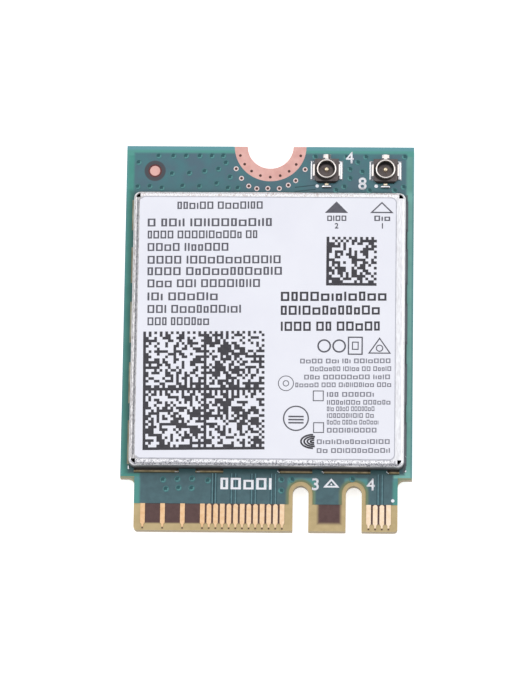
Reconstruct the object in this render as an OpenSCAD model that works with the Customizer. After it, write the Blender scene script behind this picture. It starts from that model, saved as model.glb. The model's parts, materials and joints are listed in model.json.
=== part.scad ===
// Wireless plug-in card with an edge connector, a screw notch, a shielded radio and two coax jacks.
// The board lies flat: X runs across it, Y runs from the contact edge to the screw edge, Z points up.
// The origin is at the middle of the underside. All sizes are in millimetres.

/* [Board] */
// Width of the board between its long sides
board_width = 22; // [22:0.1:30]
// Length of the board from contact edge to screw edge
board_length = 30; // [26:0.5:42]
// Thickness of the board with the layers on both faces
board_thick = 0.8; // [0.6:0.05:1.2]
// Thickness of the copper and of the solder mask on each face
foil = 0.04; // [0.02:0.01:0.06]
// Radius of the half-round screw notch
notch_radius = 1.75; // [1.2:0.05:2.1]
// Width of the bare copper ring round the notch
notch_ring = 1; // [0.6:0.1:1.2]
// Radius in the inner corner of each shoulder
shoulder_fillet = 0.5; // [0.2:0.1:0.8]
// Radius of the two outer corners of the contact tab
tab_corner = 0.25; // [0.1:0.05:0.5]
// Bare laminate left along the shoulders by the mask
shoulder_bare = 0.12; // [0.05:0.01:0.3]
// Radius of the copper of each bare via
via_radius = 0.19; // [0.15:0.01:0.25]
// Radius of the drill hole in each via
drill_radius = 0.08; // [0.05:0.01:0.1]

/* [Edge contacts] */
// Length of the contact tab below the shoulders
tab_length = 4; // [3.8:0.1:5]
// Distance between neighbouring contacts on one face
pin_pitch = 0.5; // [0.4:0.01:0.5]
// Board left beyond the centre line of the outermost contact
tab_margin = 0.675; // [0.4:0.025:0.9]
// Width of one contact
finger_width = 0.35; // [0.2:0.01:0.38]
// Distance from the contact edge to the upper end of a contact
finger_top = 2.05; // [1.6:0.05:2.6]
// Distance from the contact edge to where a contact begins to narrow
finger_taper = 0.58; // [0.5:0.01:0.8]
// Distance from the contact edge to where a contact is down to the width of its tip
finger_neck = 0.44; // [0.42:0.01:0.48]
// Distance from the contact edge to the tip of a contact
finger_tip = 0.27; // [0.1:0.01:0.4]
// Width of a contact at its tip
tip_width = 0.14; // [0.08:0.01:0.2]
// Width of each key slot
key_width = 1.2; // [0.8:0.05:1.3]
// Depth of each key slot
key_depth = 3.5; // [2.5:0.1:3.6]
// Bare laminate left round each key slot by the mask
key_bare = 0.3; // [0.1:0.05:0.4]

/* [Shield] */
// Distance from each long side of the board to the shield
shield_side_gap = 0.65; // [0.4:0.05:2]
// Distance from the shoulders to the shield
shield_front_gap = 0.7; // [0.5:0.05:2]
// Distance from the screw edge to the shield
shield_back_gap = 3.95; // [3.9:0.05:6]
// Sideways place of the shield from the middle of the board
shield_shift = 0.03; // [0:0.01:0.1]
// Height of the shield above the board
shield_height = 1.4; // [1.3:0.05:2]
// Thickness of the folded sheet
sheet = 0.15; // [0.1:0.01:0.2]
// Outer radius of each bend in the lid
lid_bend = 0.28; // [0.22:0.01:0.4]
// Outer radius of each bend in the frame
frame_bend = 0.22; // [0.21:0.01:0.3]
// Outer radius of the lid's four upright corners
lid_corner = 0.5; // [0.4:0.01:0.53]
// Length cut off the folds at each corner of the frame
corner_slit = 0.36; // [0.36:0.01:0.6]
// Clearance between the lid and the frame inside it
lid_fit = 0.03; // [0.02:0.01:0.1]
// Clearance between the board and the lower edge of the lid
lid_lift = 0.12; // [0.1:0.01:0.3]
// Width of the frame's rim under the lid
rim_width = 0.9; // [0.6:0.1:1.4]
// Height of the cuts between the feet of the frame
foot_cut = 0.3; // [0.2:0.05:0.5]
// Distance that the solder pads in front and behind reach out past the lid
pad_reach = 0.33; // [0.25:0.01:0.4]
// Distance that the solder pads at the sides reach out past the lid
side_pad_reach = 0.19; // [0.1:0.01:0.25]
// Distance that the solder pads reach in past the frame
pad_inside = 0.25; // [0.1:0.05:0.4]

/* [Label] */
// Thickness of the label
label_thick = 0.05; // [0.03:0.01:0.1]
// Bare lid left at the left end of the label
label_left = 0.46; // [0.3:0.01:1]
// Bare lid left at the right end of the label
label_right = 0.67; // [0.3:0.01:1]
// Bare lid left behind the label
label_back = 0.42; // [0.3:0.01:1]
// Bare lid left in front of the label
label_front = 0.48; // [0.3:0.01:1]
// Radius of the label's corners
label_corner = 0.45; // [0.2:0.05:1]

/* [Coax jacks] */
// Distance from the long side of the board to the middle of the second jack
jack_side_gap = 2.18; // [1.8:0.01:3]
// Distance between the middles of the two jacks
jack_spacing = 4.5; // [3.2:0.1:4.6]
// Distance from the screw edge to the middles of the jacks
jack_back_gap = 1.87; // [1.7:0.01:2]
// Outer radius of the ring of a jack
ring_radius = 0.75; // [0.7:0.01:0.9]
// Wall of the ring
ring_wall = 0.12; // [0.08:0.01:0.12]
// Height of the ring's top above the board
ring_height = 0.6; // [0.5:0.05:0.8]
// Half of the width of a jack's housing
housing_half = 0.92; // [0.9:0.01:1.1]
// Height of a jack's housing
housing_height = 0.21; // [0.205:0.005:0.215]
// Radius of the centre contact
contact_radius = 0.16; // [0.1:0.01:0.2]
// Height of the centre contact above the board
contact_height = 0.48; // [0.4:0.01:0.55]
// Thickness of the sheet in the legs and tails
leg_sheet = 0.08; // [0.06:0.01:0.08]
// Length of each side leg along the housing
leg_length = 0.9; // [0.7:0.05:1.3]
// Length of the solder joint along each side leg
joint_length = 1.44; // [1.3:0.02:1.6]

/* [Parts under the shield] */
// Side of the square wireless chip
chip_size = 8; // [6:0.5:8.5]
// Thickness of the wireless chip's moulding
chip_thick = 0.8; // [0.5:0.05:1]
// Height of the lands that hold the chips clear of the board
land_height = 0.05; // [0.03:0.01:0.1]
// Distance between the chip's lands
land_pitch = 0.45; // [0.4:0.05:0.5]
// Clearance between the chip and the capacitors round it
chip_clearance = 0.65; // [0.5:0.05:0.8]
// Distance between neighbouring capacitors
small_pitch = 1.5; // [1.4:0.05:1.6]
// Clearance between the frame and the larger parts next to it
wall_clearance = 0.9; // [0.7:0.05:1]

/* [Hidden] */
$fn = 48;
reach = 1;
half_w = board_width / 2;
half_l = board_length / 2;
shoulder_y = tab_length - half_l;
foil_z = board_thick - foil;
pin_steps = 37;
tab_width = pin_steps * pin_pitch + 2 * tab_margin;
finger_top_y = finger_top - half_l;
taper_y = finger_taper - half_l;
neck_y = finger_neck - half_l;
tip_y = finger_tip - half_l;
key_pins = [11.5, 27.5];
top_square = [1, 7, 33, 39, 45, 51, 57, 63, 69, 75];
top_round = [3, 5, 35, 37, 41, 43, 47, 49, 53, 55];
bottom_square = [2, 4, 18, 72, 74];
bottom_round = concat([6, 16, 20, 22], [for (n = [32:2:70]) n]);
ring_out = notch_radius + notch_ring;
pad_via_circle = notch_radius + 0.67;
pad_via_angles = [for (k = [-4:4]) 18.2 * k - 90];
// Bare vias round the notch: distance of each one past the copper ring, and its angle
bare_vias = [
    [0.41, -146], [0.6, -131], [0.79, -117.5], [0.74, -107], [0.57, -93],
    [0.64, -78], [0.6, -65.5], [0.57, -54], [0.46, -34]
];
fiducial_at = [2.17 - half_w, half_l - 1.97];
fiducial_radius = 0.39;
fiducial_opening = 0.52;
test_pad_radius = 0.4;
test_pad_pitch = 2.54;

shield_w = board_width - 2 * shield_side_gap;
shield_y0 = shoulder_y + shield_front_gap;
shield_y1 = half_l - shield_back_gap;
shield_l = shield_y1 - shield_y0;
shield_y = (shield_y0 + shield_y1) / 2;
lid_top = board_thick + shield_height;
frame_w = shield_w - 2 * (sheet + lid_fit);
frame_l = shield_l - 2 * (sheet + lid_fit);
frame_top = lid_top - sheet;
in_x0 = shield_shift - frame_w / 2 + sheet;
in_x1 = shield_shift + frame_w / 2 - sheet;
in_y0 = shield_y - frame_l / 2 + sheet;
in_y1 = shield_y + frame_l / 2 - sheet;
solder_height = 0.1;
corner_lip = 0.03;
// Feet of the frame, each one with its place along its side and its length
// A place runs from 0 at one corner to 1 at the other
front_feet = [[0, 3], [0.26, 1.7], [0.625, 2.15], [0.868, 3.2], [1, 0.5]];
back_feet = [[0, 3], [0.27, 3.2], [0.52, 3.2], [0.76, 2.8], [1, 2]];
side_feet = [[0, 3], [0.27, 2.8], [0.54, 2.8], [0.79, 2.4], [1, 2]];
pad_end = 0.2;

jack_y = half_l - jack_back_gap;
second_jack_x = half_w - jack_side_gap;
main_jack_x = second_jack_x - jack_spacing;
wing_z = board_thick + 0.12;
leg_x = housing_half;
foot_out = leg_x + 0.14;
joint_out = leg_x + 0.3;
joint_height = 0.14;
tail_half = 0.13;
tail_y = -1.34;
back_leg_y = 1.24;
back_foot_half = 0.26;
back_foot = 0.24;

chip_at = [shield_shift - 0.6, shield_y - 0.5];
chip_top = board_thick + land_height + chip_thick;
lands_a_side = 15;
module_size = [3, 3.5, 0.75];
memory_size = [3, 2, 0.5];
crystal_size = [2, 1.6, 0.4];
crystal_cap_thick = 0.1;
inductor_size = [2, 1.6, 0.9, 0.4];
filter_size = [1.6, 0.8, 0.6, 0.35];
capacitor_size = [1, 0.5, 0.5, 0.25];
resistor_size = [1, 0.5, 0.35, 0.2];
pad_border = 0.05;
module_spots = [
    [in_x1 - wall_clearance - module_size.x / 2, in_y1 - wall_clearance - module_size.y / 2],
    [in_x1 - wall_clearance - module_size.x / 2, in_y0 + wall_clearance + module_size.y / 2]
];
memory_at = [in_x0 + wall_clearance + memory_size.x / 2, in_y0 + wall_clearance + memory_size.y / 2];
crystal_at = [in_x0 + wall_clearance + crystal_size.x / 2, in_y1 - wall_clearance - crystal_size.y / 2];
// Two-ended parts: middle of each one, and its turn about Z
inductor_x = in_x0 + wall_clearance + inductor_size.x / 2;
inductor_spots = [for (s = [-1, 1]) [inductor_x, chip_at.y + s * 1.5, 0]];
filter_x = module_spots[0].x - module_size.x / 2 - 1;
filter_spots = [
    for (k = [0, 1]) [filter_x - k * small_pitch, in_y1 - wall_clearance - filter_size.x / 2, 90],
    for (k = [0, 1]) [filter_x - k * small_pitch, in_y0 + wall_clearance + filter_size.x / 2, 90]
];
cap_row = chip_size / 2 + chip_clearance + capacitor_size.y / 2;
capacitor_spots = [
    for (k = [-2:2], s = [-1, 1]) [chip_at.x + k * small_pitch, chip_at.y + s * cap_row, 0],
    for (k = [-2:2], s = [-1, 1]) [chip_at.x + s * cap_row, chip_at.y + k * small_pitch, 90]
];
resistor_x = crystal_at.x + memory_size.x;
resistor_spots = [
    for (k = [0:3]) [resistor_x + k * small_pitch, in_y1 - wall_clearance - resistor_size.y / 2, 0],
    for (k = [0:3]) [resistor_x + k * small_pitch, in_y0 + wall_clearance + resistor_size.y / 2, 0]
];

mask_green = [0.27, 0.44, 0.47];
gold = [0.93, 0.78, 0.5];
copper = [0.9, 0.66, 0.58];
tin = [0.8, 0.81, 0.84];
moulding = [0.22, 0.2, 0.2];
epoxy = [0.13, 0.13, 0.14];
ceramic = [0.72, 0.66, 0.56];

function pin_x(n) = (pin_steps - (n - 1)) * pin_pitch / 2;

// Plan of the whole board with its tab, key slots and screw notch
module board_plan() {
    difference() {
        union() {
            translate([-half_w, shoulder_y])
                square([board_width, half_l - shoulder_y]);
            tab_plan();
            shoulder_fillets();
        }
        translate([0, half_l])
            circle(notch_radius);
        key_slots(0);
    }
}

// Contact tab with its two rounded corners
module tab_plan() {
    translate([-tab_width / 2, tab_corner - half_l])
        square([tab_width, tab_length]);
    translate([tab_corner - tab_width / 2, -half_l])
        square([tab_width - 2 * tab_corner, tab_length]);
    for (s = [-1, 1])
        translate([s * (tab_width / 2 - tab_corner), tab_corner - half_l])
            circle(tab_corner);
}

module shoulder_fillets() {
    for (s = [-1, 1])
        difference() {
            translate([s * (tab_width + shoulder_fillet) / 2, shoulder_y - shoulder_fillet / 2])
                square(shoulder_fillet, center = true);
            translate([s * (tab_width / 2 + shoulder_fillet), shoulder_y - shoulder_fillet])
                circle(shoulder_fillet);
        }
}

// Two slots with round inner ends, each one wider by a border on both sides
module key_slots(border) {
    half = key_width / 2;
    for (pin = key_pins)
        translate([pin_x(pin), -half_l]) {
            translate([-half - border, -reach])
                square([key_width + 2 * border, key_depth - half + reach]);
            translate([0, key_depth - half])
                circle(half + border);
        }
}

// Plan of a solder mask before its openings, pulled back from shoulders, slots and contacts
module mask_plan() {
    difference() {
        intersection() {
            board_plan();
            union() {
                translate([-half_w, shoulder_y + shoulder_bare])
                    square([board_width, board_length]);
                translate([-tab_width / 2, finger_top_y])
                    square([tab_width, board_length / 2]);
            }
        }
        key_slots(key_bare);
        translate([0, half_l])
            circle(ring_out);
        bare_via_spots()
            circle(via_radius);
    }
}

module bare_via_spots() {
    translate([0, half_l])
        for (via = bare_vias)
            rotate(via[1])
                translate([ring_out + via[0], 0])
                    children();
}

module notch_ring_plan() {
    difference() {
        intersection() {
            board_plan();
            translate([0, half_l])
                circle(ring_out);
        }
        translate([0, half_l])
            for (a = pad_via_angles)
                translate([pad_via_circle * cos(a), pad_via_circle * sin(a)])
                    circle(drill_radius);
    }
}

module via_plan() {
    difference() {
        circle(via_radius);
        circle(drill_radius);
    }
}

// One contact: a long pad, square or round at its upper end, that narrows to a tip
module finger(n, round_top) {
    cap = round_top ? finger_width / 2 : 0;
    translate([pin_x(n), 0])
        linear_extrude(foil) {
            polygon([
                [-finger_width / 2, taper_y],
                [-tip_width / 2, neck_y],
                [-tip_width / 2, tip_y],
                [tip_width / 2, tip_y],
                [tip_width / 2, neck_y],
                [finger_width / 2, taper_y]
            ]);
            translate([-finger_width / 2, taper_y])
                square([finger_width, finger_top_y - cap - taper_y]);
            if (round_top)
                translate([0, finger_top_y - cap])
                    circle(cap);
        }
}

module fingers(square_pins, round_pins) {
    for (n = square_pins)
        finger(n, false);
    for (n = round_pins)
        finger(n, true);
}

module test_pad_spots() {
    for (i = [-2:2], j = [-1, 1])
        translate([shield_shift + i * test_pad_pitch, shield_y + j * test_pad_pitch])
            children();
}

// Places its child at each foot along one side of the frame, between the slits at its corners
module on_feet(feet, side_length, turn, depth) {
    span = side_length - 2 * corner_slit;
    translate([shield_shift, shield_y])
        rotate(turn)
            for (foot = feet)
                translate([(foot[0] - 0.5) * (span - foot[1]), depth]) {
                    $foot = foot[1];
                    children();
                }
}

// The child's +Y points out of the shield, and its origin lies that far inside the lid's outer face
module on_end_feet(inset) {
    on_feet(front_feet, frame_w, 0, inset - shield_l / 2)
        rotate(180)
            children();
    on_feet(back_feet, frame_w, 0, shield_l / 2 - inset)
        children();
}

module on_side_feet(inset) {
    on_feet(side_feet, frame_l, 90, shield_w / 2 - inset)
        children();
    on_feet(side_feet, frame_l, 90, inset - shield_w / 2)
        rotate(180)
            children();
}

// Solder pads of the shield, each one from inside the frame to past the lid
module shield_pad_plan() {
    on_end_feet(0)
        foot_pad(pad_reach);
    on_side_feet(0)
        foot_pad(side_pad_reach);
}

module foot_pad(out) {
    inside = 2 * sheet + lid_fit + pad_inside;
    translate([-$foot / 2 - pad_end, -inside])
        square([$foot + 2 * pad_end, inside + out]);
}

// Cross section of a sheet folded down along both edges, with round bends
module fold_outline(width, height, bend) {
    translate([-width / 2, 0])
        square([width, height - bend]);
    translate([bend - width / 2, 0])
        square([width - 2 * bend, height]);
    for (s = [-1, 1])
        translate([s * (width / 2 - bend), height - bend])
            circle(bend);
}

module folded_sheet(width, depth, height, bend) {
    rotate([90, 0, 0])
        translate([0, 0, -depth / 2])
            linear_extrude(depth)
                difference() {
                    fold_outline(width, height, bend);
                    translate([0, -reach])
                        fold_outline(width - 2 * sheet, height - sheet + reach, bend - sheet);
                }
}

// Two folded sheets across each other, which leaves a square slit at every corner
module folded_cap(width, depth, height, bend, slit) {
    folded_sheet(width, depth - 2 * slit, height, bend);
    rotate(90)
        folded_sheet(depth, width - 2 * slit, height, bend);
}

// Wall round one corner of the lid, bent in at its top as far as the small hole beside it
module corner_wall(height) {
    inner = lid_corner - sheet;
    rotate_extrude(angle = 90)
        intersection() {
            difference() {
                fold_outline(2 * lid_corner, height, lid_bend);
                translate([0, -reach])
                    fold_outline(2 * inner, height - sheet + reach, lid_bend - sheet);
            }
            translate([inner - corner_lip, 0])
                square([sheet + corner_lip, height]);
        }
}

module jack_pad_plan(x) {
    translate([x, jack_y]) {
        for (s = [-1, 1])
            translate([s * (leg_x + joint_out) / 2, 0])
                square([joint_out - leg_x + pad_border, joint_length + 2 * pad_border], center = true);
        translate([-tail_half - pad_border, tail_y - pad_border])
            square([2 * (tail_half + pad_border), -tail_y - housing_half]);
        translate([-back_foot_half - pad_border, housing_half])
            square([2 * (back_foot_half + pad_border), back_leg_y + pad_border - housing_half]);
    }
}

// A moulded block with two cut corners towards the contact edge
module jack_housing(x) {
    cut = 0.28;
    front = -1.02;
    back = 0.88;
    translate([x, jack_y, 0])
        difference() {
            translate([0, 0, board_thick])
                linear_extrude(housing_height)
                    polygon([
                        [-housing_half, back],
                        [-housing_half, front + cut],
                        [cut - housing_half, front],
                        [housing_half - cut, front],
                        [housing_half, front + cut],
                        [housing_half, back]
                    ]);
            translate([0, 0, wing_z])
                cylinder(r = ring_radius - ring_wall, h = reach);
            jack_shell_solid();
            jack_contact_solid();
        }
}

// Ring with a round lip, a wing to each side with a leg and foot on the board, and a third leg behind
module jack_shell_solid() {
    ring_top = board_thick + ring_height;
    inner = ring_radius - ring_wall;
    difference() {
        union() {
            rotate_extrude() {
                translate([inner, wing_z])
                    square([ring_wall, ring_top - ring_wall / 2 - wing_z]);
                translate([ring_radius - ring_wall / 2, ring_top - ring_wall / 2])
                    circle(ring_wall / 2);
            }
            translate([-leg_x - leg_sheet, -leg_length / 4, wing_z])
                cube([2 * (leg_x + leg_sheet), leg_length / 2, leg_sheet]);
            translate([-tail_half, 0, wing_z])
                cube([2 * tail_half, back_leg_y, leg_sheet]);
        }
        translate([0, 0, wing_z - reach])
            cylinder(r = inner, h = 2 * reach);
    }
    for (s = [-1, 1]) {
        translate([s * (leg_x + leg_sheet / 2), 0, (board_thick + wing_z + leg_sheet) / 2])
            cube([leg_sheet, leg_length, wing_z + leg_sheet - board_thick], center = true);
        translate([s * (leg_x + foot_out) / 2, 0, board_thick + leg_sheet / 2])
            cube([foot_out - leg_x, leg_length, leg_sheet], center = true);
    }
    translate([-tail_half, back_leg_y - leg_sheet, board_thick])
        cube([2 * tail_half, leg_sheet, wing_z + leg_sheet - board_thick]);
    translate([-back_foot_half, back_leg_y - back_foot, board_thick])
        cube([2 * back_foot_half, back_foot, leg_sheet]);
}

// Round-headed centre contact with a flat tail that leaves the housing towards the contact edge
module jack_contact_solid() {
    dome = contact_radius * 0.6;
    top = board_thick + contact_height;
    rotate_extrude() {
        translate([0, board_thick])
            square([contact_radius, contact_height - dome]);
        translate([0, board_thick])
            square([contact_radius - dome, contact_height]);
        intersection() {
            translate([contact_radius - dome, top - dome])
                circle(dome);
            translate([0, board_thick])
                square([contact_radius, contact_height]);
        }
    }
    translate([-tail_half, tail_y, board_thick])
        cube([2 * tail_half, -tail_y, leg_sheet]);
}

// Ridge with a triangular section: its tall side at X = 0, falling away along +X
module ridge(length, out, height) {
    rotate([90, 0, 0])
        translate([0, 0, -length / 2])
            linear_extrude(length)
                polygon([[0, 0], [out, 0], [0, height]]);
}

module jack_solder_joints(x) {
    translate([x, jack_y, board_thick]) {
        for (turn = [0, 180])
            rotate(turn)
                translate([foot_out, 0, 0])
                    ridge(joint_length, joint_out - foot_out, joint_height);
        translate([0, back_leg_y, 0])
            rotate(90)
                ridge(2 * back_foot_half, pad_border, leg_sheet);
        translate([0, tail_y, 0])
            rotate(-90)
                ridge(2 * tail_half, pad_border, leg_sheet);
    }
}

// Flat lands under a chip: a row along each side and one square in the middle
module chip_land_row(size, count, pitch, land) {
    for (k = [0:count - 1], s = [-1, 1])
        translate([(k - (count - 1) / 2) * pitch, s * (size / 2 - land.y / 2), land_height / 2])
            cube([land.x, land.y, land_height], center = true);
}

module on_spots(spots) {
    for (p = spots)
        translate([p.x, p.y])
            rotate(p.z)
                children();
}

// Two-ended part: size holds its length, width, height and the length of each terminal
module end_body(size) {
    translate([0, 0, board_thick + size.z / 2])
        cube([size.x - 2 * size[3], size.y, size.z], center = true);
}

module end_terminals(size) {
    for (s = [-1, 1])
        translate([s * (size.x - size[3]) / 2, 0, board_thick + size.z / 2])
            cube([size[3], size.y, size.z], center = true);
}

module end_pad_plan(spots, size) {
    on_spots(spots)
        for (s = [-1, 1])
            translate([s * (size.x - size[3]) / 2, 0])
                square([size[3] + 2 * pad_border, size.y + 2 * pad_border], center = true);
}

// Copper pads of every two-ended part, and the four pads of the crystal
module part_pad_plan() {
    end_pad_plan(inductor_spots, inductor_size);
    end_pad_plan(filter_spots, filter_size);
    end_pad_plan(capacitor_spots, capacitor_size);
    end_pad_plan(resistor_spots, resistor_size);
    translate(crystal_at)
        for (i = [-1, 1], j = [-1, 1])
            translate([i * crystal_size.x / 3, j * crystal_size.y / 3])
                square([0.6, 0.45], center = true);
}

module board_laminate() {
    color([0.77, 0.68, 0.47])
        translate([0, 0, foil])
            linear_extrude(board_thick - 2 * foil)
                board_plan();
}

module solder_mask_top() {
    color(mask_green)
        translate([0, 0, foil_z])
            linear_extrude(foil)
                difference() {
                    mask_plan();
                    translate(fiducial_at)
                        circle(fiducial_opening);
                    shield_pad_plan();
                    jack_pad_plan(main_jack_x);
                    jack_pad_plan(second_jack_x);
                    part_pad_plan();
                }
}

module solder_mask_bottom() {
    color(mask_green)
        linear_extrude(foil)
            difference() {
                mask_plan();
                test_pad_spots()
                    circle(test_pad_radius);
            }
}

module contacts_top() {
    color(gold)
        translate([0, 0, foil_z])
            fingers(top_square, top_round);
}

module contacts_bottom() {
    color(gold)
        fingers(bottom_square, bottom_round);
}

module notch_ring_top() {
    color(copper)
        translate([0, 0, foil_z])
            linear_extrude(foil)
                notch_ring_plan();
}

module notch_ring_bottom() {
    color(copper)
        linear_extrude(foil)
            notch_ring_plan();
}

module bare_vias_top() {
    color(copper)
        translate([0, 0, foil_z])
            bare_via_spots()
                linear_extrude(foil)
                    via_plan();
}

module bare_vias_bottom() {
    color(copper)
        bare_via_spots()
            linear_extrude(foil)
                via_plan();
}

module fiducial() {
    color(copper)
        translate([fiducial_at.x, fiducial_at.y, foil_z])
            cylinder(r = fiducial_radius, h = foil);
}

module test_pads() {
    color(gold)
        test_pad_spots()
            cylinder(r = test_pad_radius, h = foil);
}

module shield_pads() {
    color(gold)
        translate([0, 0, foil_z])
            linear_extrude(foil)
                shield_pad_plan();
}

module shield_solder() {
    inside = sheet + lid_fit - pad_border;
    color(tin)
        translate([0, 0, board_thick]) {
            on_end_feet(sheet + lid_fit)
                rotate(90)
                    ridge($foot, inside + pad_reach, solder_height);
            on_side_feet(sheet + lid_fit)
                rotate(90)
                    ridge($foot, inside + side_pad_reach, solder_height);
        }
}

// Folded frame with a rim, an open top, and cuts between its feet
module shield_frame() {
    color([0.76, 0.76, 0.78])
        translate([shield_shift, shield_y, board_thick])
            difference() {
                folded_cap(frame_w, frame_l, frame_top - board_thick, frame_bend, corner_slit);
                translate([0, 0, frame_top - board_thick])
                    cube([frame_w - 2 * rim_width, frame_l - 2 * rim_width, reach], center = true);
                foot_cuts();
            }
}

// Everything low along the frame's sides except where a foot stands
module foot_cuts() {
    difference() {
        translate([0, 0, foot_cut / 2 - reach / 2])
            cube([frame_w + reach, frame_l + reach, foot_cut + reach], center = true);
        translate([-shield_shift, -shield_y, -reach])
            {
                on_end_feet(sheet + lid_fit)
                    foot_block();
                on_side_feet(sheet + lid_fit)
                    foot_block();
            }
    }
}

module foot_block() {
    translate([-$foot / 2, -2 * sheet, 0])
        cube([$foot, 3 * sheet, 3 * reach]);
}

module shield_lid() {
    height = shield_height - lid_lift;
    color([0.84, 0.84, 0.87])
        translate([shield_shift, shield_y, board_thick + lid_lift]) {
            folded_cap(shield_w, shield_l, height, lid_bend, lid_corner);
            for (turn = [0, 180]) {
                rotate(turn)
                    translate([shield_w / 2 - lid_corner, shield_l / 2 - lid_corner])
                        corner_wall(height);
                rotate(turn + 90)
                    translate([shield_l / 2 - lid_corner, shield_w / 2 - lid_corner])
                        corner_wall(height);
            }
        }
}

module lid_label() {
    x0 = shield_shift - shield_w / 2 + label_left;
    x1 = shield_shift + shield_w / 2 - label_right;
    y0 = shield_y0 + label_front;
    y1 = shield_y1 - label_back;
    color([0.92, 0.92, 0.95])
        translate([0, 0, lid_top])
            linear_extrude(label_thick) {
                translate([x0 + label_corner, y0])
                    square([x1 - x0 - 2 * label_corner, y1 - y0]);
                translate([x0, y0 + label_corner])
                    square([x1 - x0, y1 - y0 - 2 * label_corner]);
                for (x = [x0 + label_corner, x1 - label_corner])
                    for (y = [y0 + label_corner, y1 - label_corner])
                        translate([x, y])
                            circle(label_corner);
            }
}

module main_jack_housing() {
    color(moulding)
        jack_housing(main_jack_x);
}

module main_jack_shell() {
    color(gold)
        translate([main_jack_x, jack_y, 0])
            jack_shell_solid();
}

module main_jack_contact() {
    color(gold)
        translate([main_jack_x, jack_y, 0])
            jack_contact_solid();
}

module second_jack_housing() {
    color(moulding)
        jack_housing(second_jack_x);
}

module second_jack_shell() {
    color(gold)
        translate([second_jack_x, jack_y, 0])
            jack_shell_solid();
}

module second_jack_contact() {
    color(gold)
        translate([second_jack_x, jack_y, 0])
            jack_contact_solid();
}

module jack_pads() {
    color(tin)
        translate([0, 0, foil_z])
            linear_extrude(foil) {
                jack_pad_plan(main_jack_x);
                jack_pad_plan(second_jack_x);
            }
}

module jack_solder() {
    color(tin) {
        jack_solder_joints(main_jack_x);
        jack_solder_joints(second_jack_x);
    }
}

module wireless_chip() {
    color(epoxy)
        translate([chip_at.x, chip_at.y, board_thick + land_height + chip_thick / 2])
            cube([chip_size, chip_size, chip_thick], center = true);
}

module chip_lands() {
    middle = chip_size * 0.6;
    color(tin)
        translate([chip_at.x, chip_at.y, board_thick]) {
            for (turn = [0, 90])
                rotate(turn)
                    chip_land_row(chip_size, lands_a_side, land_pitch, [0.22, 0.4]);
            translate([0, 0, land_height / 2])
                cube([middle, middle, land_height], center = true);
        }
}

// Soft pad that fills the space between the chip and the lid
module heat_pad() {
    side = chip_size - 1;
    color([0.62, 0.64, 0.7])
        translate([chip_at.x - side / 2, chip_at.y - side / 2, chip_top])
            cube([side, side, frame_top - chip_top]);
}

module radio_modules() {
    color(epoxy)
        for (p = module_spots)
            translate([p.x, p.y, board_thick + land_height + module_size.z / 2])
                cube(module_size, center = true);
}

module module_lands() {
    color(tin)
        for (p = module_spots)
            translate([p.x, p.y, board_thick]) {
                chip_land_row(module_size.y, 5, 0.5, [0.25, 0.35]);
                translate([0, 0, land_height / 2])
                    cube([module_size.x * 0.5, module_size.y * 0.5, land_height], center = true);
            }
}

module memory_chip() {
    color(epoxy)
        translate([memory_at.x, memory_at.y, board_thick + land_height + memory_size.z / 2])
            cube(memory_size, center = true);
}

module memory_lands() {
    color(tin)
        translate([memory_at.x, memory_at.y, board_thick])
            chip_land_row(memory_size.y, 4, 0.5, [0.25, 0.45]);
}

module crystal_base() {
    color(ceramic)
        translate([crystal_at.x, crystal_at.y, board_thick + crystal_size.z / 2])
            cube(crystal_size, center = true);
}

module crystal_cap() {
    border = 0.15;
    color(tin)
        translate([crystal_at.x, crystal_at.y, board_thick + crystal_size.z + crystal_cap_thick / 2])
            cube([crystal_size.x - border, crystal_size.y - border, crystal_cap_thick], center = true);
}

module inductor_bodies() {
    color([0.3, 0.3, 0.31])
        on_spots(inductor_spots)
            end_body(inductor_size);
}

module inductor_terminals() {
    color(tin)
        on_spots(inductor_spots)
            end_terminals(inductor_size);
}

module filter_bodies() {
    color([0.88, 0.87, 0.83])
        on_spots(filter_spots)
            end_body(filter_size);
}

module filter_terminals() {
    color(tin)
        on_spots(filter_spots)
            end_terminals(filter_size);
}

module capacitor_bodies() {
    color(ceramic)
        on_spots(capacitor_spots)
            end_body(capacitor_size);
}

module capacitor_terminals() {
    color(tin)
        on_spots(capacitor_spots)
            end_terminals(capacitor_size);
}

module resistor_bodies() {
    color(epoxy)
        on_spots(resistor_spots)
            end_body(resistor_size);
}

module resistor_terminals() {
    color(tin)
        on_spots(resistor_spots)
            end_terminals(resistor_size);
}

module part_pads() {
    color(copper)
        translate([0, 0, foil_z])
            linear_extrude(foil)
                part_pad_plan();
}

board_laminate();
solder_mask_top();
solder_mask_bottom();
contacts_top();
contacts_bottom();
notch_ring_top();
notch_ring_bottom();
bare_vias_top();
bare_vias_bottom();
fiducial();
test_pads();
shield_pads();
shield_solder();
shield_frame();
shield_lid();
lid_label();
main_jack_housing();
main_jack_shell();
main_jack_contact();
second_jack_housing();
second_jack_shell();
second_jack_contact();
jack_pads();
jack_solder();
wireless_chip();
chip_lands();
heat_pad();
radio_modules();
module_lands();
memory_chip();
memory_lands();
crystal_base();
crystal_cap();
inductor_bodies();
inductor_terminals();
filter_bodies();
filter_terminals();
capacitor_bodies();
capacitor_terminals();
resistor_bodies();
resistor_terminals();
part_pads();
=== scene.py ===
# %% [markdown]
# # A small plug-in wireless card
# The real thing is a circuit board 22 mm by 30 mm with a row of gilded contacts, a notch for a screw,
# a folded metal lid with a printed label, and two coax jacks no bigger than a grain of rice. The solid
# parts come ready made from the CAD model. This notebook gives each of them its finish, and adds what
# is too thin or too soft for CAD: print, tracks and vias under the lacquer, and beads of solder.

# %% Load the solid parts
import json
import math
import random

import bpy
from mathutils import Matrix, Vector


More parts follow.
